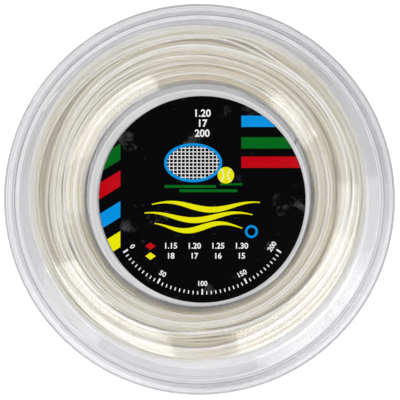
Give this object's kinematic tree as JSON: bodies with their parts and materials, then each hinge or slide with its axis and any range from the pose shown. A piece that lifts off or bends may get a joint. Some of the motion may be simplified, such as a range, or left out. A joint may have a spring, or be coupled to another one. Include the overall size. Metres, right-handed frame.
{
  "type": "string reel",
  "caption": "Clear plastic reel of racket string: two snap-together flanged halves, a wound hub, a thin retaining band and a round printed disc.",
  "frame": {"origin": "centre of the rear flange's lip face, on the surface that the reel lies on", "axes": "+Z along the reel's axis, out of the front flange with the printed disc; +Y is the top of the printed disc; +X to its right"},
  "size_m": [0.156, 0.156, 0.042],
  "materials": {
    "clear_plastic": "clear, polished by the mould",
    "printed_disc": "glossy laminated print",
    "string": "pearly co-polyester monofilament",
    "clear_film": "clear flexible strip"
  },
  "bodies": {
    "spool": {"rear_flange": "clear_plastic", "front_flange": "clear_plastic", "front_label": "printed_disc", "string_winding": "string"},
    "band": {"retaining_band": "clear_film", "string_end": "string"}
  },
  "joints": [
    {"name": "band_turn", "type": "hinge", "parent": "spool", "child": "band", "pos_m": [0, 0, 0.021], "axis": [0, 0, 1], "continuous": true}
  ]
}
